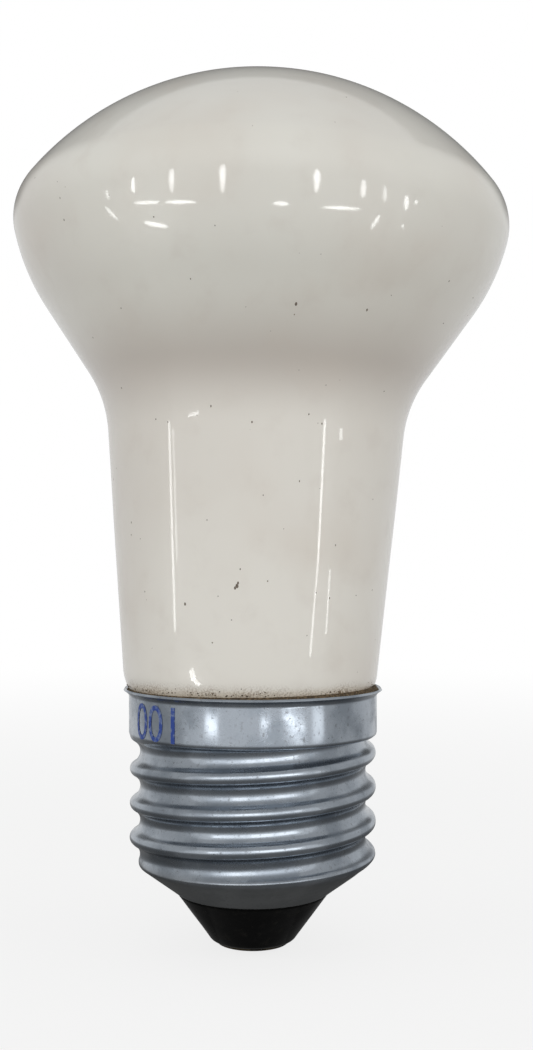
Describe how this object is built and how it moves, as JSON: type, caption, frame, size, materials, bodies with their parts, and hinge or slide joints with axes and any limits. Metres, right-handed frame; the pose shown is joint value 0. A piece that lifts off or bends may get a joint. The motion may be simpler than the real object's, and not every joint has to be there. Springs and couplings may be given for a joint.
{
  "type": "incandescent light bulb",
  "caption": "Incandescent bulb with an opal mushroom-shaped glass head on a tapered neck, cemented into a rolled-thread metal screw cap with a black insulator.",
  "frame": {"origin": "tip of the solder bead under the centre contact, on the cap's axis", "axes": "+Z along the cap's axis, from the contact towards the glass head; +X towards the side the head leans to; -Y is the front of the picture"},
  "size_m": [0.0521, 0.052, 0.0918],
  "materials": {
    "opal_glass": "gloss, inside-coated warm white, not see-through",
    "cement": "rough brown basing cement",
    "cap_sheet": "rolled sheet, satin, lightly pitted",
    "black_glass": "black glass, semi-gloss",
    "contact_brass": "dull",
    "solder": "dull grey solder",
    "lead_wire": "plain drawn wire"
  },
  "bodies": {
    "root": {"glass_bulb": "opal_glass", "cap_cement": "cement", "screw_shell": "cap_sheet", "cap_insulator": "black_glass", "contact_plate": "contact_brass", "contact_solder": "solder", "side_solder": "solder", "centre_lead": "lead_wire", "side_lead": "lead_wire"}
  },
  "joints": []
}
